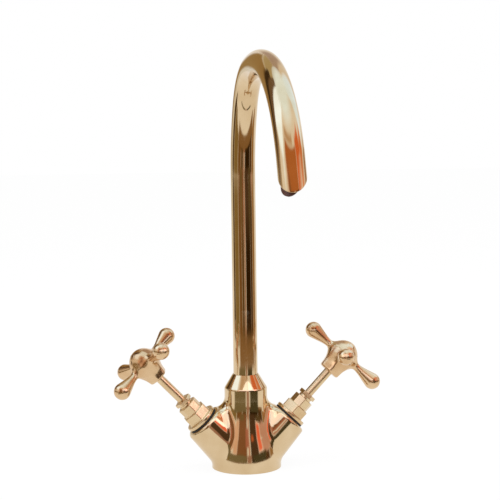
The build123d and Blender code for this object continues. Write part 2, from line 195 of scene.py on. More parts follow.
def cell_points(values, cells):
    """One point in each crossed cell, midway among its edges' crossings, in steps of the grid."""
    total = np.zeros((len(cells), 3))
    count = np.zeros(len(cells))
    for axis in range(3):
        others = [i for i in range(3) if i != axis]
        for first in (0, 1):
            for second in (0, 1):
                corner = cells.copy()
                corner[:, others[0]] += first
                corner[:, others[1]] += second
                beyond = corner.copy()
                beyond[:, axis] += 1
                near = values[tuple(corner.T)]
                far = values[tuple(beyond.T)]
                hit = (near < 0) != (far < 0)
                spot = corner.astype(float)
                spot[:, axis] += np.where(hit, near / np.where(hit, near - far, 1), 0)
                total[hit] += spot[hit]
                count += hit
    return total / count[:, None]


def cell_quads(inside, numbers):
    """A quad round each edge of the grid that the surface cuts, turned outwards."""
    quads = []
    for axis in range(3):
        u, v = [(1, 2), (2, 0), (0, 1)][axis]
        lower = [slice(None)] * 3
        upper = [slice(None)] * 3
        lower[axis] = slice(0, -1)
        upper[axis] = slice(1, None)
        near = inside[tuple(lower)]
        edges = np.argwhere(near != inside[tuple(upper)])
        roomy = (edges[:, u] > 0) & (edges[:, v] > 0)
        roomy &= (edges[:, u] < inside.shape[u] - 1) & (edges[:, v] < inside.shape[v] - 1)
        edges = edges[roomy]
        outward = near[tuple(edges.T)]
        around = []
        for du, dv in ((-1, -1), (0, -1), (0, 0), (-1, 0)):
            neighbour = edges.copy()
            neighbour[:, u] += du
            neighbour[:, v] += dv
            around.append(numbers[tuple(neighbour.T)])
        around = np.column_stack(around)
        around[~outward] = around[~outward][:, ::-1]
        quads.append(around)
    return np.concatenate(quads)


def slope(field, points):
    """How fast and which way a field grows at points."""
    reach = 0.02
    rows = []
    for axis in range(3):
        nudge = np.zeros(3)
        nudge[axis] = reach
        rows.append((field(points + nudge) - field(points - nudge)) / (2 * reach))
    return np.column_stack(rows)


def skin(name, field, low, high, step, place, material):
    """The surface where a field of distances is nothing, as a closed mesh of even quads."""
    axes = [np.arange(low[i] - 2 * step, high[i] + 2.5 * step, step) for i in range(3)]
    values = sampled(field, axes)
    inside = values < 0
    cells, numbers = crossed_cells(inside)
    quads = cell_quads(inside, numbers)
    points = cell_points(values, cells) * step + np.array([axis[0] for axis in axes])
    for _ in range(SETTLING_ROUNDS):
        lean = slope(field, points)
        pull = field(points) / np.maximum((lean**2).sum(axis=1), 0.05)
        points -= np.clip(pull, -0.5 * step, 0.5 * step)[:, None] * lean
    normals = slope(field, points)
    normals /= np.maximum(np.linalg.norm(normals, axis=1), 1e-9)[:, None]
    turn = np.array(place.to_3x3())
    shift = np.array(place.translation)
    verts = ((points @ turn.T + shift) * MM).tolist()
    made = mesh_object(name, verts, quads.tolist(), material)
    made.data.normals_split_custom_set_from_vertices((normals @ turn.T).tolist())
    return made


# Finishes


def new_material(name):
    """An empty node material, with its tree and its output node."""
    material = bpy.data.materials.new(name)
    material.use_nodes = True
    tree = material.node_tree
    tree.nodes.clear()
    return material, tree, add_node(tree, "ShaderNodeOutputMaterial")


def mottle(tree, place, size, low, high, detail=2.0, roughness=0.5):
    """A noise of a real size in millimetres, its middle range stretched from low to high."""
    given = {"Scale": 1 / (size * MM), "Detail": detail, "Roughness": roughness}
    noise = add_node(tree, "ShaderNodeTexNoise", given, {"Vector": place})
    spread = {"From Min": 0.3, "From Max": 0.7, "To Min": low, "To Max": high}
    return add_node(tree, "ShaderNodeMapRange", spread, {"Value": noise.outputs["Fac"]}).outputs[0]


def relief(tree, place, size, depth, detail, under=None):
    """A bump of a real size and depth in millimetres, over another bump where there is one."""
    given = {"Scale": 1 / (size * MM), "Detail": detail}
    noise = add_node(tree, "ShaderNodeTexNoise", given, {"Vector": place})
    links = {"Height": noise.outputs["Fac"]}
    if under is not None:
        links["Normal"] = under
    return add_node(tree, "ShaderNodeBump", {"Distance": depth * MM}, links).outputs[0]


def toned_surface(tree, output, tones, share, links, metallic):
    """The surface itself, its colour between two tones."""
    ends = {6: (*linear(tones[0]), 1), 7: (*linear(tones[1]), 1)}
    colour = add_node(tree, "ShaderNodeMix", ends, {0: share}, data_type="RGBA").outputs[2]
    links = {"Base Color": colour, **links}
    surface = add_node(tree, "ShaderNodeBsdfPrincipled", {"Metallic": metallic}, links)
    tree.links.new(surface.outputs[0], output.inputs["Surface"])


# Patches of tone and of haze, in millimetres
METAL_PATCH = 16.0
HAZE_PATCH = 1.6
DUST_PATCH = 5.0


def metal(name, tones, rough, wave, grain):
    """Metal between two tones, with polishing waves and a finer grain in its bump."""
    material, tree, output = new_material(name)
    place = add_node(tree, "ShaderNodeTexCoord").outputs["Object"]
    share = mottle(tree, place, METAL_PATCH, 0.0, 1.0)
    waved = relief(tree, place, *wave, 1.0)
    links = {
        "Roughness": mottle(tree, place, HAZE_PATCH, *rough, 4.0, 0.7),
        "Normal": relief(tree, place, *grain, 3.0, waved),
    }
    toned_surface(tree, output, tones, share, links, 1.0)
    return material


def moulded(name, tones, rough, grain):
    """Rubber or plastic: one colour with a dustier tone, and a moulded grain."""
    material, tree, output = new_material(name)
    place = add_node(tree, "ShaderNodeTexCoord").outputs["Object"]
    share = mottle(tree, place, DUST_PATCH, 0.0, 1.0, 4.0)
    size, depth = grain
    links = {
        "Roughness": mottle(tree, place, size, *rough, 3.0),
        "Normal": relief(tree, place, size, depth, 3.0),
    }
    toned_surface(tree, output, tones, share, links, 0.0)
    return material


# Each of the record's slots: how the material is made, its name and its settings. Tones run from
# deep to bright, or from clean to dusty, and roughness from glossy to hazy. Waves and grain give
# their size and their depth, in millimetres.
FINISHES = {
    # Sand-cast brass, mopped by hand: mirror-bright, its reflections slightly uneven
    "polished_brass": (metal, "hand_mopped_cast_brass", {
        "tones": ("#CFB38A", "#DAC19B"), "rough": (0.06, 0.10), "wave": (11.0, 0.025), "grain": (2.0, 0.0003),
    }),
    # Investment-cast brass, barrel-tumbled: soft, pinkish, with faint dimples
    "cast_brass": (metal, "tumbled_cast_brass", {
        "tones": ("#CBA478", "#DEC098"), "rough": (0.17, 0.24), "wave": (6.0, 0.03), "grain": (1.5, 0.0006),
    }),
    # Brass turned and milled from bar: bright flats with a fine haze
    "turned_brass": (metal, "turned_bar_brass", {
        "tones": ("#D2B286", "#E0C8A0"), "rough": (0.20, 0.30), "wave": (6.0, 0.01), "grain": (1.5, 0.0006),
    }),
    # Stainless steel, cold-headed: plain and slightly dull
    "stainless_steel": (metal, "cold_headed_stainless_steel", {
        "tones": ("#B4B5B8", "#C9CACC"), "rough": (0.20, 0.32), "wave": (5.0, 0.005), "grain": (0.4, 0.004),
    }),
    # Nitrile rubber, moulded: black with a faint bloom
    "black_rubber": (moulded, "moulded_nitrile_rubber", {
        "tones": ("#0B0B0B", "#1B1A18"), "rough": (0.55, 0.75), "grain": (0.5, 0.01),
    }),
    # Acetal, moulded, with a low sheen: its dark brown is partly the housing's own colour and partly painted
    # shade from inside the mouth
    "dark_plastic": (moulded, "moulded_brown_acetal", {
        "tones": ("#3A1606", "#4A220C"), "rough": (0.42, 0.55), "grain": (0.5, 0.005),
    }),
    # Acetal, moulded: mid grey
    "grey_plastic": (moulded, "moulded_grey_acetal", {
        "tones": ("#8E8E8C", "#A2A29E"), "rough": (0.35, 0.50), "grain": (0.5, 0.005),
    }),
    # PTFE, pressed: off-white and waxy
    "white_ptfe": (moulded, "pressed_white_ptfe", {
        "tones": ("#ECECE6", "#DCDCD4"), "rough": (0.35, 0.45), "grain": (0.6, 0.01),
    }),
}
finished = {}


def finish_of(slot):
    """The finished material for one of the record's slots, made once."""
    if slot not in finished:
        make, name, details = FINISHES[slot]
        finished[slot] = make(name, **details)
    return finished[slot]


def stand_for(piece, body, slot, *nodes):
    """Lets a piece ride on a body in the place of CAD nodes. The material slot that it is given is not used.
    """
    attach(piece, body)
    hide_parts(*nodes)


# Settings


def length(name, description, millimetres):
    """A setting for a length, shown in the scene's units."""
    shown = {"unit": "LENGTH", "subtype": "DISTANCE", "precision": 5}
    return FloatProperty(name=name, description=description, default=millimetres * MM, **shown)


def angle(name, description, degrees):
    """A setting for an angle."""
    return FloatProperty(name=name, description=description, default=math.radians(degrees), subtype="ANGLE")


def colour_setting(name, description, hex_colour):
    """A setting for a colour, given in sRGB."""
    shown = {"subtype": "COLOR", "min": 0, "max": 1}
    return FloatVectorProperty(name=name, description=description, default=linear(hex_colour), **shown)


def share_setting(name, description, default, highest):
    """A setting for a plain share or level."""
    return FloatProperty(name=name, description=description, default=default, min=0, max=highest)


class TapSpoutSettings(bpy.types.PropertyGroup):
    radius: length("Tube radius", "Outer radius of the gooseneck tube", 8.85)
    wall: length("Wall", "Thickness of the tube's wall", 1.2)
    slant: angle("Mouth slant", "How far the mouth is turned from square across the tube", 54.0)
    mouth_turn: angle("Mouth turn", "How far the mouth's slant is turned about the tube", -14.0)
    mouth_edge: length("Mouth edge", "Width of the rounded edge round the mouth", 0.35)
    insert_radius: length("Insert radius", "Outer radius of the aerator's housing in the mouth", 7.6)
    insert_wall: length("Insert wall", "Wall of the aerator's housing", 1.2)
    insert_proud: length("Insert proud", "How far the housing's lip stands out of the mouth", 1.5)
    insert_turn: angle("Insert turn", "How far the housing's slant is turned about the tube", -34.0)


class TapHandleSettings(bpy.types.PropertyGroup):
    dome: length("Dome radius", "Radius of the hub's dome", 10.5)
    reach: length("Arm reach", "From the hub's middle to the middle of an arm's ball", 29.0)
    ball: length("Ball radius", "Radius of the ball that ends an arm", 6.0)
    neck: length("Arm neck radius", "Radius of an arm where it is thinnest", 2.45)
    root: length("Root fillet", "Room of the fillet between an arm and the hub", 3.0)
    step: length("Mesh size", "Size of the cast surface's faces", 0.5)


class TapNutSettings(bpy.types.PropertyGroup):
    flange: length("Flange radius", "Radius of the bonnet's round flange", 12.0)
    lower_flats: length("Lower flats", "Across the flats of the bonnet's hexagon", 17.4)
    upper_flats: length("Upper flats", "Across the flats of the bonnet's octagon", 14.2)
    gland_flats: length("Gland flats", "Across the flats of the gland nut", 11.6)
    step: length("Mesh size", "Size of the turned surface's faces", 0.3)


class TapStageSettings(bpy.types.PropertyGroup):
    wall_level: share_setting("Wall level", "Brightness of the white walls", 1.0, 10.0)
    paper: colour_setting("Table top", "Colour of the table top", "#EFEFEF")
    white_share: share_setting("White share", "How much of the table top is seen as pure white", 0.94, 1.0)


# The gooseneck tube and the aerator's housing, by one Geometry Nodes tree


# The spout's route in millimetres: the tube's foot and where the bend starts, then the radius and
# the angle in degrees of each arc, the straight tail, and the most that two stations turn apart
TUBE_FOOT = 64.55
BEND_START = 213.1
ARCS = ((112.8, 25.8), (46.2, 54.9), (98.4, 79.6))
TAIL_LENGTH = 22.0
STATION_ANGLE = 5
# Faces round and along the tube and the insert, and how far back from the mouth the slant fades
# out, and then how deep in the tail the insert starts
TUBE_MESH = {"Sides": 112, "Spacing": 1.1 * MM, "Fade": 32 * MM}
INSERT_MESH = {"Sides": 96, "Spacing": 1.0 * MM, "Fade": 29 * MM}
INSERT_DEPTH = 27
# Edges sharper than these are rounded at the rims, and shaded sharp
RIM_ANGLE = math.radians(40)
CRISP_ANGLE = math.radians(50)


def spout_route():
    """The route's points with their headings, from the foot to the tail's end, in millimetres."""
    stations = [((0.0, TUBE_FOOT), 0.0), ((0.0, BEND_START), 0.0)]
    heading = 0.0
    back, up = 0.0, BEND_START
    for radius, sweep in ARCS:
        middle = (back - radius * math.cos(heading), up - radius * math.sin(heading))
        steps = math.ceil(sweep / STATION_ANGLE)
        for step in range(1, steps + 1):
            turned = heading + math.radians(sweep) * step / steps
            at = (middle[0] + radius * math.cos(turned), middle[1] + radius * math.sin(turned))
            stations.append((at, turned))
        heading += math.radians(sweep)
        back, up = stations[-1][0]
    tip = (back - TAIL_LENGTH * math.sin(heading), up + TAIL_LENGTH * math.cos(heading))
    stations.append((tip, heading))
    return [(Vector((0, *at)), Vector((0, -math.sin(turn), math.cos(turn)))) for at, turn in stations]


def route_curve(name, stations):
    """A Bezier curve through stations, its handles a third of the way along each run."""
    curve = bpy.data.curves.new(name, "CURVE")
    curve.dimensions = "3D"
    curve.resolution_u = 6
    spline = curve.splines.new("BEZIER")
    spline.bezier_points.add(len(stations) - 1)
    for i, (place, heading) in enumerate(stations):
        point = spline.bezier_points[i]
        before = (place - stations[i - 1][0]).length if i else 0.0
        after = (stations[i + 1][0] - place).length if i + 1 < len(stations) else 0.0
        point.handle_left_type = point.handle_right_type = "FREE"
        point.co = place * MM
        point.handle_left = (place - heading * before / 3) * MM
        point.handle_right = (place + heading * after / 3) * MM
    made = bpy.data.objects.new(name, curve)
    bpy.context.scene.collection.objects.link(made)
    return made


def slanted_tube_tree():
    """A tree that runs a round tube along a curve and slants its far end."""
    tree = bpy.data.node_groups.new("slanted_tube", "GeometryNodeTree")
    face = tree.interface
    face.new_socket("Geometry", in_out="OUTPUT", socket_type="NodeSocketGeometry")
    face.new_socket("Route", in_out="INPUT", socket_type="NodeSocketGeometry")
    for name, kind in (
        ("Radius", "NodeSocketFloat"),
        ("Sides", "NodeSocketInt"),
        ("Spacing", "NodeSocketFloat"),
        ("Slant", "NodeSocketFloat"),
        ("Fade", "NodeSocketFloat"),
        ("End", "NodeSocketVector"),
        ("Heading", "NodeSocketVector"),
        ("Uphill", "NodeSocketVector"),
        ("Finish", "NodeSocketMaterial"),
    ):
        face.new_socket(name, in_out="INPUT", socket_type=kind)
    given = add_node(tree, "NodeGroupInput").outputs
    links = {"Curve": given["Route"], "Length": given["Spacing"]}
    spaced = add_node(tree, "GeometryNodeResampleCurve", {}, links, mode="LENGTH")
    links = {"Radius": given["Radius"], "Resolution": given["Sides"]}
    profile = add_node(tree, "GeometryNodeCurvePrimitiveCircle", {}, links)
    links = {"Curve": spaced.outputs[0], "Profile Curve": profile.outputs[0]}
    tube = add_node(tree, "GeometryNodeCurveToMesh", {}, links)

    # How far a point is past the route's end, and how far up the mouth's slope
    at = add_node(tree, "GeometryNodeInputPosition").outputs[0]
    links = {0: at, 1: given["End"]}
    away = add_node(tree, "ShaderNodeVectorMath", {}, links, operation="SUBTRACT").outputs["Vector"]
    links = {0: away, 1: given["Heading"]}
    past = add_node(tree, "ShaderNodeVectorMath", {}, links, operation="DOT_PRODUCT").outputs["Value"]
    links = {0: away, 1: given["Uphill"]}
    climb = add_node(tree, "ShaderNodeVectorMath", {}, links, operation="DOT_PRODUCT").outputs["Value"]
    climb = add_node(tree, "ShaderNodeMath", {}, {0: climb, 1: given["Radius"]}, operation="ADD").outputs[0]
    steepness = add_node(tree, "ShaderNodeMath", {}, {0: given["Slant"]}, operation="TANGENT").outputs[0]
    rise = add_node(tree, "ShaderNodeMath", {}, {0: climb, 1: steepness}, operation="MULTIPLY").outputs[0]

    # The share of that rise that a point takes, none where the slant has faded out
    left = add_node(tree, "ShaderNodeMath", {}, {0: given["Fade"], 1: past}, operation="ADD").outputs[0]
    left = add_node(tree, "ShaderNodeMath", {1: 0.0}, {0: left}, operation="MAXIMUM").outputs[0]
    share = add_node(tree, "ShaderNodeMath", {}, {0: left, 1: given["Fade"]}, operation="DIVIDE").outputs[0]
    lift = add_node(tree, "ShaderNodeMath", {}, {0: rise, 1: share}, operation="MULTIPLY").outputs[0]
    lift = add_node(tree, "ShaderNodeMath", {1: -1.0}, {0: lift}, operation="MULTIPLY").outputs[0]
    links = {0: given["Heading"], 3: lift}
    shift = add_node(tree, "ShaderNodeVectorMath", {}, links, operation="SCALE").outputs["Vector"]

    # Only the points near the mouth move, because the riser's foot lies past that plane too
    gap = add_node(tree, "ShaderNodeVectorMath", {}, {0: away}, operation="LENGTH").outputs["Value"]
    reach = add_node(tree, "ShaderNodeMath", {1: 1.4}, {0: given["Fade"]}, operation="MULTIPLY").outputs[0]
    links = {0: gap, 1: reach}
    near = add_node(tree, "FunctionNodeCompare", {}, links, data_type="FLOAT", operation="LESS_THAN")
    links = {"Geometry": tube.outputs[0], "Selection": near.outputs[0], "Offset": shift}
    slanted = add_node(tree, "GeometryNodeSetPosition", {}, links)
    smooth = add_node(tree, "GeometryNodeSetShadeSmooth", {}, {0: slanted.outputs[0]})
    real = add_node(tree, "GeometryNodeRealizeInstances", {}, {0: smooth.outputs[0]})
    links = {"Geometry": real.outputs[0], "Material": given["Finish"]}
    dressed = add_node(tree, "GeometryNodeSetMaterial", {}, links)
    add_node(tree, "NodeGroupOutput", {}, {0: dressed.outputs[0]})
    return tree


def modified_mesh(source, name):
    """What an object's modifiers make of it, as a plain mesh."""
    evaluated = source.evaluated_get(bpy.context.evaluated_depsgraph_get())
    mesh = bpy.data.meshes.new_from_object(evaluated)
    mesh.name = name
    return mesh


def grown(name, route, tree, values, wall, rim):
    """Runs a tree on a route, gives the tube its wall and rounded rims, and keeps a plain mesh."""
    modifier = route.modifiers.new("form", "NODES")
    modifier.node_group = tree
    keys = {item.name: item.identifier for item in tree.interface.items_tree if item.in_out == "INPUT"}
    for key, value in values.items():
        modifier[keys[key]] = value
    made = bpy.data.objects.new(name, modified_mesh(route, name))
    bpy.data.objects.remove(route)
    bpy.context.scene.collection.objects.link(made)
    shell = made.modifiers.new("wall", "SOLIDIFY")
    shell.thickness = wall
    shell.offset = -1.0
    shell.use_even_offset = True
    rounding = made.modifiers.new("rims", "BEVEL")
    rounding.width = rim
    rounding.segments = 3
    rounding.limit_method = "ANGLE"
    rounding.angle_limit = RIM_ANGLE
    mesh = modified_mesh(made, name)
    made.modifiers.clear()
    made.data = mesh
    return made


def crisp(piece):
    """Shades a piece smooth, but for its sharp edges."""
    form = bmesh.new()
    form.from_mesh(piece.data)
    bmesh.ops.recalc_face_normals(form, faces=form.faces)
    for face in form.faces:
        face.smooth = True
    for edge in form.edges:
        edge.smooth = len(edge.link_faces) == 2 and edge.calc_face_angle() < CRISP_ANGLE
    form.to_mesh(piece.data)
    form.free()


class TAP_OT_spout(bpy.types.Operator):
    """Makes the gooseneck tube, with its slanted mouth, and the aerator's housing in it"""

    bl_idname = "tap.spout"
    bl_label = "Gooseneck spout"

    def execute(self, context):
        sizes = context.scene.tap_spout
        stations = spout_route()
        end, heading = stations[-1]
        riser_side = Vector((0, heading.z, -heading.y)) * -1
        tree = slanted_tube_tree()
        tube = grown(
            "gooseneck_tube",
            route_curve("spout_route", stations),
            tree,
            {
                **TUBE_MESH,
                "Radius": sizes.radius,
                "Slant": sizes.slant,
                "End": end * MM,
                "Heading": heading,
                "Uphill": Matrix.Rotation(-sizes.mouth_turn, 3, heading) @ riser_side,
                "Finish": finish_of("polished_brass"),
            },
            sizes.wall,
            sizes.mouth_edge,
        )
        crisp(tube)
        stand_for(tube, "spout", "polished_brass", "spout_tube")
        start = end - heading * INSERT_DEPTH
        lip = end + heading * sizes.insert_proud / MM
        insert = grown(
            "aerator_insert",
            route_curve("insert_route", [(start, heading), (lip, heading)]),
            tree,
            {
                **INSERT_MESH,
                "Radius": sizes.insert_radius,
                "Slant": sizes.slant,
                "End": lip * MM,
                "Heading": heading,
                "Uphill": Matrix.Rotation(-sizes.insert_turn, 3, heading) @ riser_side,
                # The housing's dark brown finish is partly painted shade from inside the mouth
                "Finish": finish_of("dark_plastic"),
            },
            sizes.insert_wall,
            sizes.mouth_edge,
        )
        crisp(insert)
        stand_for(insert, "spout", "dark_plastic", "aerator_housing")
        return {"FINISHED"}


# Cross handles


# How each handle stands at rest about its valve's axis, in degrees
HANDLE_TURN = {"left": 31.0, "right": -12.1}
# Each hub: how far its dome is above the arms, how its soft flats are turned, how far they reach
# down and how wide they are there
HANDLE_HUB = {"left": (0.9, -14.0, 14.8, 13.4), "right": (-0.1, 30.0, 16.3, 15.4)}
# The castings aren't quite square: each arm's ball is a little up its valve's axis, and out
ARM_LIFT = {"left": (0.1, 0.7, 0.4, 3.0), "right": (-0.7, -1.3, 0.0, 0.0)}
ARM_STRETCH = {"left": (0.0, 0.9, -0.6, 0.3), "right": (-0.6, 0.0, 0.0, 0.0)}
# The hub's soft flats: how far inside the dome they start, and how crisp their corners are
FLATS_INSET = 1.4
SOFT_CORNERS = 14.0
# An arm, out from the hub's middle: a trumpet, thick where it starts, that runs into a teardrop
TRUMPET_START = 5.0
TRUMPET_RADIUS = 6.6
TRUMPET_END = 16.5
TEARDROP_START = 15.0
# Inside the hub: the stem's bore, and beside it the screw's bore and the key's narrower hole
STEM_BORE = 3.3
STEM_BORE_TOP = 1.0
SCREW_TURN = math.radians(135)
SCREW_DROP = 2.0
SCREW_BORE = 2.08
SCREW_BORE_LENGTH = 8.3
KEY_HOLE = 0.9


def drilled(points):
    """The holes in a hub: the stem's bore from below, and from one side the screw's."""
    x, y, z = points.T
    stem = np.maximum(round_bar(points, STEM_BORE), z - STEM_BORE_TOP)
    over = x * math.cos(SCREW_TURN) + y * math.sin(SCREW_TURN)
    beside = y * math.cos(SCREW_TURN) - x * math.sin(SCREW_TURN)
    across = np.hypot(beside, z + SCREW_DROP)
    screw = np.maximum(across - SCREW_BORE, np.maximum(-over, over - SCREW_BORE_LENGTH))
    key = np.maximum(across - KEY_HOLE, -over)
    return np.minimum(stem, np.minimum(screw, key))


def handle_field(sizes, side):
    """The cast handle's surface about the middle of its arms, in millimetres."""
    rise, hub_turn, drop, flats = HANDLE_HUB[side]
    lengths = (sizes.dome, sizes.reach, sizes.ball, sizes.neck, sizes.root)
    dome, reach, ball, neck, root = (value / MM for value in lengths)

    def hub(points):
        x, y, z = points.T
        top = np.sqrt(x * x + y * y + (z - rise) ** 2) - dome
        taper = np.clip((z + drop) / drop, 0, 1)
        half_flats = flats / 2 * (1 - taper) + (dome - FLATS_INSET) * taper
        skirt = many_sided(points, 6, half_flats, SOFT_CORNERS, hub_turn)
        skirt = within(skirt, between_planes(z, -drop, 1.0), 1.6)
        return blend_on(top, skirt, 4.0)

    def field(points):
        body = hub(points)
        for quarter in range(4):
            bearing = math.radians(90 * quarter)
            out = reach + ARM_STRETCH[side][quarter]
            tip = np.array([out * math.cos(bearing), out * math.sin(bearing), ARM_LIFT[side][quarter]])
            span = np.linalg.norm(tip)
            along = points @ (tip / span)
            away = np.sqrt(np.maximum((points**2).sum(axis=1) - along**2, 0))
            trumpet = flare(along, away, TRUMPET_START, TRUMPET_RADIUS, TRUMPET_END, neck - 0.1)
            body = blend_on(body, trumpet, root)
            body = blend_on(body, teardrop(along, away, TEARDROP_START, neck, span, ball), 1.5)
        return cut_from(body, drilled(points), 0.4)

    return field


class TAP_OT_handles(bpy.types.Operator):
    """Makes both cast cross handles, their four arms blended into a domed hub"""

    bl_idname = "tap.handles"
    bl_label = "Cross handles"

    def execute(self, context):
        sizes = context.scene.tap_handle
        step = sizes.step / MM
        out = (sizes.reach + sizes.ball) / MM + 1.0
        finish = finish_of("cast_brass")
        for side in SIDES:
            rise, _, drop, _ = HANDLE_HUB[side]
            low = (-out, -out, -drop)
            high = (out, out, sizes.dome / MM + rise)
            place = valve_frame(side, HUB_REACH, HANDLE_TURN[side])
            handle = skin(f"cross_handle_{side}", handle_field(sizes, side), low, high, step, place, finish)
            stand_for(handle, f"spindle_{side}", "cast_brass", f"handle_{side}")
        return {"FINISHED"}


# Bonnets and gland nuts


# Heights up a valve's axis, in millimetres: the bonnet's flange, hexagon and octagon, and above
# them the gland nut's hexagon
FLANGE_FOOT = ARM_LENGTH + 1.1
LOWER_FOOT = FLANGE_FOOT + 2.7
LOWER_TOP = LOWER_FOOT + 6.7
BONNET_TOP = LOWER_TOP + 7.1
GLAND_FOOT = BONNET_TOP + 1.9
GLAND_TOP = GLAND_FOOT + 2.9
# How the bonnets are turned at rest, and a gland nut beyond its bonnet, in degrees
BONNET_TURN = {"left": 30.0, "right": 15.0}
GLAND_TURN = 30.0
# The bonnet's barrel, then its bores: the jumper's, the spindle's thread, the stem and the packing
BARREL_RADIUS = 10.45
BARREL_LENGTH = 13.0
JUMPER_BORE = 7.0
JUMPER_BORE_TOP = 39.4
THREAD_BORE = 5.05
THREAD_TOP = BONNET_TOP - 6.0
STEM_HOLE = 3.25
PACKING_BORE = 5.1
PACKING_FOOT = BONNET_TOP - 4.5
# The gland nut's nose, which goes down into the bonnet, and half of the room that the nut takes
NOSE_RADIUS = 5.05
NOSE_LENGTH = 1.5
GLAND_ROOM = 7.0
# How crisp the milled corners are, and how steep the chamfer that is turned across them
HEXAGON_CORNERS = 40.0
OCTAGON_CORNERS = 60.0
CHAMFER_SLOPE = 1.6


def milled(points, sides, half_flats, corners, low, high, chamfer, turn=0.0):
    """A nut with flats, with a chamfer turned across the corners of its top."""
    z = points[:, 2]
    bar = within(many_sided(points, sides, half_flats, corners, turn), between_planes(z, low, high), 0.5)
    return within(bar, round_bar(points, half_flats + chamfer + (high - z) * CHAMFER_SLOPE), 0.4)


def bonnet_field(sizes):
    """The bonnet's surface on its valve's axis, from its barrel up, in millimetres."""
    flange, lower, upper = (value / MM for value in (sizes.flange, sizes.lower_flats, sizes.upper_flats))

    def bores(points):
        z = points[:, 2]
        jumper = np.maximum(round_bar(points, JUMPER_BORE), z - JUMPER_BORE_TOP)
        thread = np.maximum(round_bar(points, THREAD_BORE), z - THREAD_TOP)
        packing = np.maximum(round_bar(points, PACKING_BORE), PACKING_FOOT - z)
        return np.minimum(np.minimum(jumper, thread), np.minimum(round_bar(points, STEM_HOLE), packing))

    def field(points):
        z = points[:, 2]
        barrel = between_planes(z, FLANGE_FOOT - BARREL_LENGTH, FLANGE_FOOT + 0.5)
        barrel = np.maximum(round_bar(points, BARREL_RADIUS), barrel)
        disc = within(round_bar(points, flange), between_planes(z, FLANGE_FOOT, LOWER_FOOT), 0.9)
        body = np.minimum(barrel, disc)
        hexagon = milled(points, 6, lower / 2, HEXAGON_CORNERS, LOWER_FOOT - 1.0, LOWER_TOP, 0.9)
        body = blend_on(body, hexagon, 0.5)
        octagon = milled(points, 8, upper / 2, OCTAGON_CORNERS, LOWER_TOP - 1.0, BONNET_TOP, 0.3, 22.5)
        body = blend_on(body, octagon, 0.5)
        return cut_from(body, bores(points), 0.15)

    return field


def gland_field(sizes):
    """The gland nut's surface: a nose, a neck and a thin hexagon, bored for the stem."""
    flats = sizes.gland_flats / MM

    def field(points):
        nose = between_planes(points[:, 2], BONNET_TOP - NOSE_LENGTH, GLAND_FOOT + 0.5)
        nose = np.maximum(round_bar(points, NOSE_RADIUS), nose)
        nut = milled(points, 6, flats / 2, HEXAGON_CORNERS, GLAND_FOOT, GLAND_TOP, 0.5)
        return cut_from(blend_on(nose, nut, 0.4), round_bar(points, STEM_HOLE), 0.3)

    return field


class TAP_OT_nuts(bpy.types.Operator):
    """Makes both bonnets and gland nuts, with worn corners and turned chamfers"""

    bl_idname = "tap.nuts"
    bl_label = "Bonnets and gland nuts"

    def execute(self, context):
        sizes = context.scene.tap_nuts
        step = sizes.step / MM
        wide = sizes.flange / MM
        finish = finish_of("turned_brass")
        for side in SIDES:
            place = valve_frame(side, 0.0, BONNET_TURN[side])
            low = (-wide, -wide, FLANGE_FOOT - BARREL_LENGTH)
            high = (wide, wide, BONNET_TOP)
            bonnet = skin(f"valve_bonnet_{side}", bonnet_field(sizes), low, high, step, place, finish)
            stand_for(bonnet, "faucet_body", "turned_brass", f"bonnet_{side}")
            place = valve_frame(side, 0.0, BONNET_TURN[side] + GLAND_TURN)
            low = (-GLAND_ROOM, -GLAND_ROOM, BONNET_TOP - NOSE_LENGTH)
            high = (GLAND_ROOM, GLAND_ROOM, GLAND_TOP)
            nut = skin(f"valve_gland_nut_{side}", gland_field(sizes), low, high, step, place, finish)
            stand_for(nut, "faucet_body", "turned_brass", f"gland_nut_{side}")
        return {"FINISHED"}


# The carried-over solids


class TAP_OT_finishes(bpy.types.Operator):
    """Gives every solid that is carried over its finish"""

    bl_idname = "tap.finishes"
    bl_label = "Finishes of the solids"

    def execute(self, context):
        slot_of = {entry["node"]: entry["material_slot"] for entry in frame["record"]["subparts"]}
        for name, piece in frame["nodes"].items():
            for place in piece.material_slots:
                place.material = finish_of(slot_of[name])
        return {"FINISHED"}


# The stage: table, walls, cards, lamps and camera


def card_material(name, hex_colour, strength):
    """A card that mirrors in the metal as that colour, and fades out towards its edges."""
    material, tree, output = new_material(name)
    solid = add_node(tree, "ShaderNodeAttribute", attribute_name="solid")
    given = {"Color": (*linear(hex_colour), 1), "Strength": strength}
    shine = add_node(tree, "ShaderNodeEmission", given)
    clear = add_node(tree, "ShaderNodeBsdfTransparent")
    links = {0: solid.outputs["Fac"], 1: clear.outputs[0], 2: shine.outputs[0]}
    mixed = add_node(tree, "ShaderNodeMixShader", {}, links)
    tree.links.new(mixed.outputs[0], output.inputs["Surface"])
    return material


def only_mirrored(card):
    """Shows a card to reflections alone, so it neither hides nor shades the object."""
    card.visible_camera = False
    card.visible_diffuse = False
    card.visible_shadow = False
    card.visible_transmission = False
    card.visible_volume_scatter = False


# Cards that lie on the table, seen only in the metal: name, from and to in degrees from the
# front, from and to in metres out from the tap, colour, strength and fading sides in degrees
LYING = (
    ("umber_far_left", -128, -102, 0.6, 1.4, "#5D4821", 1, 5),
    ("olive_rug_left", -106, -58, 0.55, 1.3, "#957E4D", 1, 6),
    ("oak_boards", -64, 84, 0.4, 0.72, "#95734B", 1, 8),
    ("walnut_boards_left", -62, -28, 0.62, 1.3, "#866135", 1, 6),
    ("walnut_boards_mid", -32, -7, 0.62, 1.3, "#6F5530", 1, 4),
    ("blush_runner", -8, 5, 0.62, 1.3, "#AA7C65", 1, 3),
    ("ebony_boards", 5, 54, 0.62, 1.3, "#35230A", 1, 4),
    ("umber_boards_right", 50, 78, 0.62, 1.3, "#5D4224", 1, 5),
    ("sand_boards_right", 74, 108, 0.6, 1.3, "#AA8659", 1, 6),
)
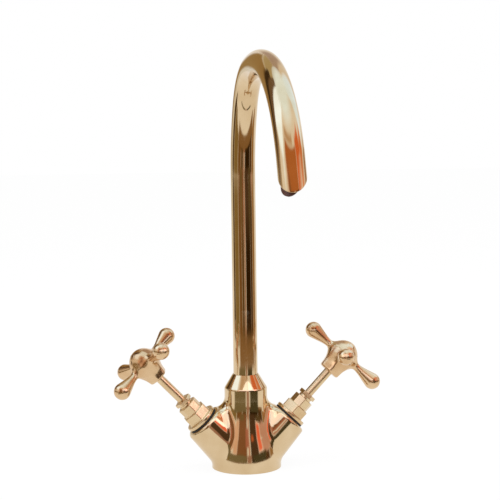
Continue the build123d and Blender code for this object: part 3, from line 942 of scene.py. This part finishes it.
# Cards that stand up, seen only in the metal: name, from and to in degrees, then in metres how
# far out they are, their foot and their top, colour and strength, and at last their fading sides
# in degrees and their fading foot and top in metres
STANDING = (
    ("olive_skirting", -74, -8, 0.2, 0.007, 0.042, "#867C5D", 1, 6, 0.003),
    ("rose_skirting", -9, 8, 0.199, 0.007, 0.042, "#B58E7E", 1, 5, 0.003),
    ("ebony_skirting", 8, 58, 0.2, 0.007, 0.042, "#555038", 1, 6, 0.003),
    ("tawny_room", -180, -124, 1.3, 0.16, 1.35, "#A68959", 1, 8, 0.12),
    ("straw_room", -186, -124, 1.3, 1.15, 4.5, "#C2B38B", 1, 8, 0.3),
    ("grey_room", 176, 236, 1.35, -0.02, 0.42, "#EAEAE2", 1, 8, 0.08),
    ("umber_door", -147, -120, 1.22, 0.24, 1.8, "#453521", 1, 6, 0.15),
    ("bark_frame", -134, -112, 1.2, 0.24, 3, "#7C654B", 1, 5, 0.15),
    ("fawn_frame", -117, -100, 1.21, 0.24, 0.75, "#BCA686", 1, 5, 0.12),
    ("left_window", -120, -64, 1.3, 0.66, 5.5, "#C6DEFF", 2.4, 8, 0.2),
    ("blush_curtain", -62, -43, 1.25, 0.18, 0.75, "#F3CBB5", 1, 5, 0.08),
    ("walnut_case", -48, -6, 1.27, 0.06, 0.98, "#936745", 1, 5, 0.06),
    ("olive_books", -44, -18, 1.24, 0.06, 0.27, "#846F4B", 1, 5, 0.06),
    ("rose_case", -16, 1, 1.24, 0.4, 0.85, "#BF7E69", 1, 4, 0.1),
    ("rose_slit", -4, 3, 1.23, 0.04, 0.95, "#CE9B8B", 1, 2.5, 0.05),
    ("ebony_case", 3, 36, 1.27, 0.06, 0.98, "#594430", 1, 4, 0.06),
    ("rust_books", 8, 22, 1.23, 0.58, 0.9, "#CE6C3F", 1, 4, 0.1),
    ("terracotta_vase", 33, 53, 1.24, 0.22, 0.82, "#FF8160", 1.1, 5, 0.1),
    ("umber_shelf", 34, 66, 1.25, 0.06, 0.26, "#655538", 1, 5, 0.06),
    ("blush_wall", 50, 84, 1.26, 0.14, 0.6, "#DDAFA2", 1, 5, 0.08),
    ("chestnut_beam", -60, 34, 1.28, 0.8, 1.4, "#C87C45", 1, 7, 0.12),
    ("amber_ceiling", -60, 14, 1.27, 1.25, 1.95, "#DABC9E", 1, 8, 0.3),
    ("orange_wall", 28, 74, 1.26, 0.72, 1.6, "#EF814B", 1, 8, 0.22),
    ("orange_chest", 64, 98, 1.24, 0.5, 1.15, "#EF9561", 1, 8, 0.2),
    ("tan_chest", 94, 128, 1.25, 0.2, 0.58, "#B58E6F", 1, 6, 0.08),
    ("pale_window", 90, 136, 1.3, 0.62, 5, "#C4DFFF", 1.9, 8, 0.2),
    ("plaster_wall", 132, 182, 1.3, 0.45, 4.5, "#EFE7DA", 1, 6, 0.2),
    ("clay_wall", 144, 184, 1.28, 0.8, 3.2, "#BFADA2", 1, 8, 0.3),
)
# The lying cards: the first one's height, the next ones' steps up and how their near edge fades.
# Those that reach far out end in an upstand, solid up to one height and gone at the next.
CARD_LEVEL = 0.001
CARD_STEP = 0.0002
NEAR_FADE = 0.03
FAR_OUT = 1.0
UPSTAND_SOLID = 0.16
UPSTAND_TOP = 0.26
# The bright ceiling: its height, and how far out it is whole and gone
CEILING_HEIGHT = 2.6
CEILING_INNER = 0.02
CEILING_WHOLE = 0.7
CEILING_EDGE = 1.7
# How far each of a card's columns of faces turns, in degrees
COLUMN_ANGLE = 3


def card(name, start, stop, rungs, hex_colour, strength, fade):
    """A strip swept round the tap between two bearings, fading out at all its edges."""
    middle = stop - start - 2 * fade
    steps = max(2, round(middle / COLUMN_ANGLE))
    bearings = [start, start + fade / 2]
    bearings += [start + fade + middle * step / steps for step in range(steps + 1)]
    bearings += [stop - fade / 2, stop]
    verts, faces, solid = [], [], []
    for bearing in bearings:
        side = min(1.0, (bearing - start) / fade, (stop - bearing) / fade)
        across = math.sin(math.radians(bearing))
        ahead = -math.cos(math.radians(bearing))
        for out, height, share in rungs:
            verts.append((out * across, out * ahead, height))
            solid.append(share * side * side * (3 - 2 * side))
    count = len(rungs)
    for column in range(len(bearings) - 1):
        for row in range(count - 1):
            base = column * count + row
            faces.append((base, base + count, base + count + 1, base + 1))
    made = mesh_object(name, verts, faces, card_material(name, hex_colour, strength))
    values = made.data.attributes.new("solid", "FLOAT", "POINT")
    values.data.foreach_set("value", solid)
    only_mirrored(made)


def cards():
    """All the cards, the lying ones a hair apart, and a bright ceiling."""
    for level, (name, start, stop, near, far, colour, strength, fade) in enumerate(LYING):
        height = CARD_LEVEL + CARD_STEP * level
        rungs = [(near, height, 0.0), (near + NEAR_FADE, height, 1.0), (far, height, 1.0)]
        if far > FAR_OUT:
            rungs += [(far, UPSTAND_SOLID, 1.0), (far, UPSTAND_TOP, 0.0)]
        card(name, start, stop, rungs, colour, strength, fade)
    for name, start, stop, out, foot, top, colour, strength, fade, soft in STANDING:
        rungs = [(out, foot, 0.0), (out, foot + soft, 1.0), (out, top - soft, 1.0), (out, top, 0.0)]
        card(name, start, stop, rungs, colour, strength, fade)
    outs = ((CEILING_INNER, 1.0), (CEILING_WHOLE, 1.0), (CEILING_EDGE, 0.0))
    rungs = [(out, CEILING_HEIGHT, share) for out, share in outs]
    card("bright_ceiling", -180, 180, rungs, "#CEE6FF", 1.75, 0.01)


# Half of the table top's side, in metres
TABLE_HALF = 12.0


def table_top(settings):
    """A plain pale table top that runs out of view, with the tap's soft shadow on it."""
    material, tree, output = new_material("white_table_top")
    path = add_node(tree, "ShaderNodeLightPath").outputs
    links = {0: path["Is Camera Ray"], 1: path["Is Glossy Ray"]}
    seen = add_node(tree, "ShaderNodeMath", {}, links, operation="ADD")
    links = {0: seen.outputs[0], 1: path["Is Transmission Ray"]}
    seen = add_node(tree, "ShaderNodeMath", {}, links, operation="ADD", use_clamp=True)
    given = {1: settings.white_share}
    share = add_node(tree, "ShaderNodeMath", given, {0: seen.outputs[0]}, operation="MULTIPLY")
    paper = add_node(tree, "ShaderNodeBsdfDiffuse", {"Color": (*settings.paper, 1)})
    white = add_node(tree, "ShaderNodeEmission", {"Color": (1, 1, 1, 1), "Strength": 1.0})
    links = {0: share.outputs[0], 1: paper.outputs[0], 2: white.outputs[0]}
    mixed = add_node(tree, "ShaderNodeMixShader", {}, links)
    tree.links.new(mixed.outputs[0], output.inputs["Surface"])
    corners = [(x * TABLE_HALF, y * TABLE_HALF, 0) for x, y in ((-1, -1), (1, -1), (1, 1), (-1, 1))]
    mesh_object("table_top", corners, [(0, 1, 2, 3)], material)


def white_walls(settings):
    """White walls all round, at a plain level."""
    world = bpy.data.worlds.new("white_studio")
    bpy.context.scene.world = world
    world.use_nodes = True
    tree = world.node_tree
    tree.nodes.clear()
    given = {"Color": (1, 1, 1, 1), "Strength": settings.wall_level}
    white = add_node(tree, "ShaderNodeBackground", given)
    add_node(tree, "ShaderNodeOutputWorld", {}, {"Surface": white.outputs[0]})


def area_lamp(name, shape, width, watts, place):
    """A lamp that the camera doesn't see."""
    light = bpy.data.lights.new(name, "AREA")
    light.shape = shape
    light.size = width
    light.energy = watts
    lamp = bpy.data.objects.new(name, light)
    lamp.location = place
    lamp.visible_camera = False
    bpy.context.scene.collection.objects.link(lamp)
    return lamp


# The square softboxes, which face one point of the tap: name, place, width and watts
SOFT_BOXES = (
    ("window_left", (-1.6, -0.5, 0.9), 1.3, 12.0),
    ("ceiling", (0.2, -0.3, 1.9), 1.4, 16.0),
)
LIT_POINT = (0, -0.05, 0.12)
# The oval lamp over the body's shoulders, nearly level
SHOULDER_PLACE = (0, -0.085, 0.106)
SHOULDER_WIDTH = 0.2
SHOULDER_DEPTH = 0.075
SHOULDER_WATTS = 0.06
SHOULDER_COLOUR = (0.65, 0.78, 1.0)
SHOULDER_TILT = math.radians(7.4)


def soft_boxes():
    """The softboxes, which light the object and don't mirror in it."""
    for name, place, width, watts in SOFT_BOXES:
        lamp = area_lamp(name, "SQUARE", width, watts, place)
        lamp.rotation_euler = (Vector(LIT_POINT) - Vector(place)).to_track_quat("-Z", "Y").to_euler()
        lamp.visible_glossy = False


def shoulder_lamp():
    """A low oval lamp that shines down on the body's shoulders, seen only in their reflections."""
    lamp = area_lamp("shoulder_lamp", "ELLIPSE", SHOULDER_WIDTH, SHOULDER_WATTS, SHOULDER_PLACE)
    lamp.data.size_y = SHOULDER_DEPTH
    lamp.data.color = SHOULDER_COLOUR
    lamp.rotation_euler = (SHOULDER_TILT, 0, 0)
    lamp.visible_diffuse = False
    lamp.visible_transmission = False


# The photograph's viewpoint, fitted to the tap's outline
CAMERA_TURN = math.radians(-10.84)
CAMERA_DISTANCE = 0.9
CAMERA_HEIGHT = 0.23162
CAMERA_YAW = math.radians(-0.28)
CAMERA_PITCH = math.radians(4.62)
CAMERA_ROLL = math.radians(-0.71)
FOCAL_PIXELS = 1246.6
IMAGE_PIXELS = 500
SENSOR_MM = 36.0


def viewpoint():
    """The camera at the photograph's angle, for a square picture."""
    camera = bpy.data.cameras.new("viewpoint")
    camera.sensor_width = SENSOR_MM
    camera.lens = FOCAL_PIXELS * SENSOR_MM / IMAGE_PIXELS
    camera.clip_start = 0.05
    camera.clip_end = 60.0
    turn = CAMERA_TURN + CAMERA_YAW
    level = math.cos(CAMERA_PITCH)
    ahead = Vector((-math.sin(turn) * level, math.cos(turn) * level, -math.sin(CAMERA_PITCH)))
    right = Vector((math.cos(turn), math.sin(turn), 0))
    up = right.cross(ahead)
    rolled_right = right * math.cos(CAMERA_ROLL) + up * math.sin(CAMERA_ROLL)
    rolled_up = up * math.cos(CAMERA_ROLL) - right * math.sin(CAMERA_ROLL)
    back = -CAMERA_DISTANCE * math.cos(CAMERA_TURN)
    place = Vector((CAMERA_DISTANCE * math.sin(CAMERA_TURN), back, CAMERA_HEIGHT))
    seat = bpy.data.objects.new("viewpoint", camera)
    facing = Matrix((rolled_right, rolled_up, -ahead)).transposed().to_4x4()
    seat.matrix_world = Matrix.Translation(place) @ facing
    bpy.context.scene.collection.objects.link(seat)
    bpy.context.scene.camera = seat


class TAP_OT_stage(bpy.types.Operator):
    """Sets the table, the white walls, the cards, the lamps and the camera"""

    bl_idname = "tap.stage"
    bl_label = "Table, cards, lamps and camera"

    def execute(self, context):
        settings = context.scene.tap_stage
        table_top(settings)
        white_walls(settings)
        cards()
        soft_boxes()
        shoulder_lamp()
        viewpoint()
        return {"FINISHED"}


class TAP_PT_panel(bpy.types.Panel):
    """Lists the tap's pieces and their sizes"""

    bl_idname = "TAP_PT_panel"
    bl_label = "Basin mixer tap"
    bl_space_type = "VIEW_3D"
    bl_region_type = "UI"
    bl_category = "Tap"

    def draw(self, context):
        for group, operator in PIECES:
            box = self.layout.box()
            if group:
                settings = getattr(context.scene, group)
                for key in settings.bl_rna.properties.keys():
                    if key not in ("rna_type", "name"):
                        box.prop(settings, key)
            box.operator(operator)


PIECES = (
    (None, "tap.finishes"),
    ("tap_spout", "tap.spout"),
    ("tap_handle", "tap.handles"),
    ("tap_nuts", "tap.nuts"),
    ("tap_stage", "tap.stage"),
)
SETTINGS = {
    "tap_spout": TapSpoutSettings,
    "tap_handle": TapHandleSettings,
    "tap_nuts": TapNutSettings,
    "tap_stage": TapStageSettings,
}
OPERATORS = (TAP_OT_finishes, TAP_OT_spout, TAP_OT_handles, TAP_OT_nuts, TAP_OT_stage)
CLASSES = (*SETTINGS.values(), *OPERATORS, TAP_PT_panel)


def register():
    for kind in CLASSES:
        bpy.utils.register_class(kind)
    for name, kind in SETTINGS.items():
        setattr(bpy.types.Scene, name, PointerProperty(type=kind))


def unregister():
    for name in SETTINGS:
        delattr(bpy.types.Scene, name)
    for kind in reversed(CLASSES):
        bpy.utils.unregister_class(kind)


def main():
    register()
    bpy.ops.tap.finishes()
    bpy.ops.tap.spout()
    bpy.ops.tap.handles()
    bpy.ops.tap.nuts()
    bpy.ops.tap.stage()
    bpy.context.scene.view_settings.view_transform = "Standard"


if __name__ == "__main__":
    main()
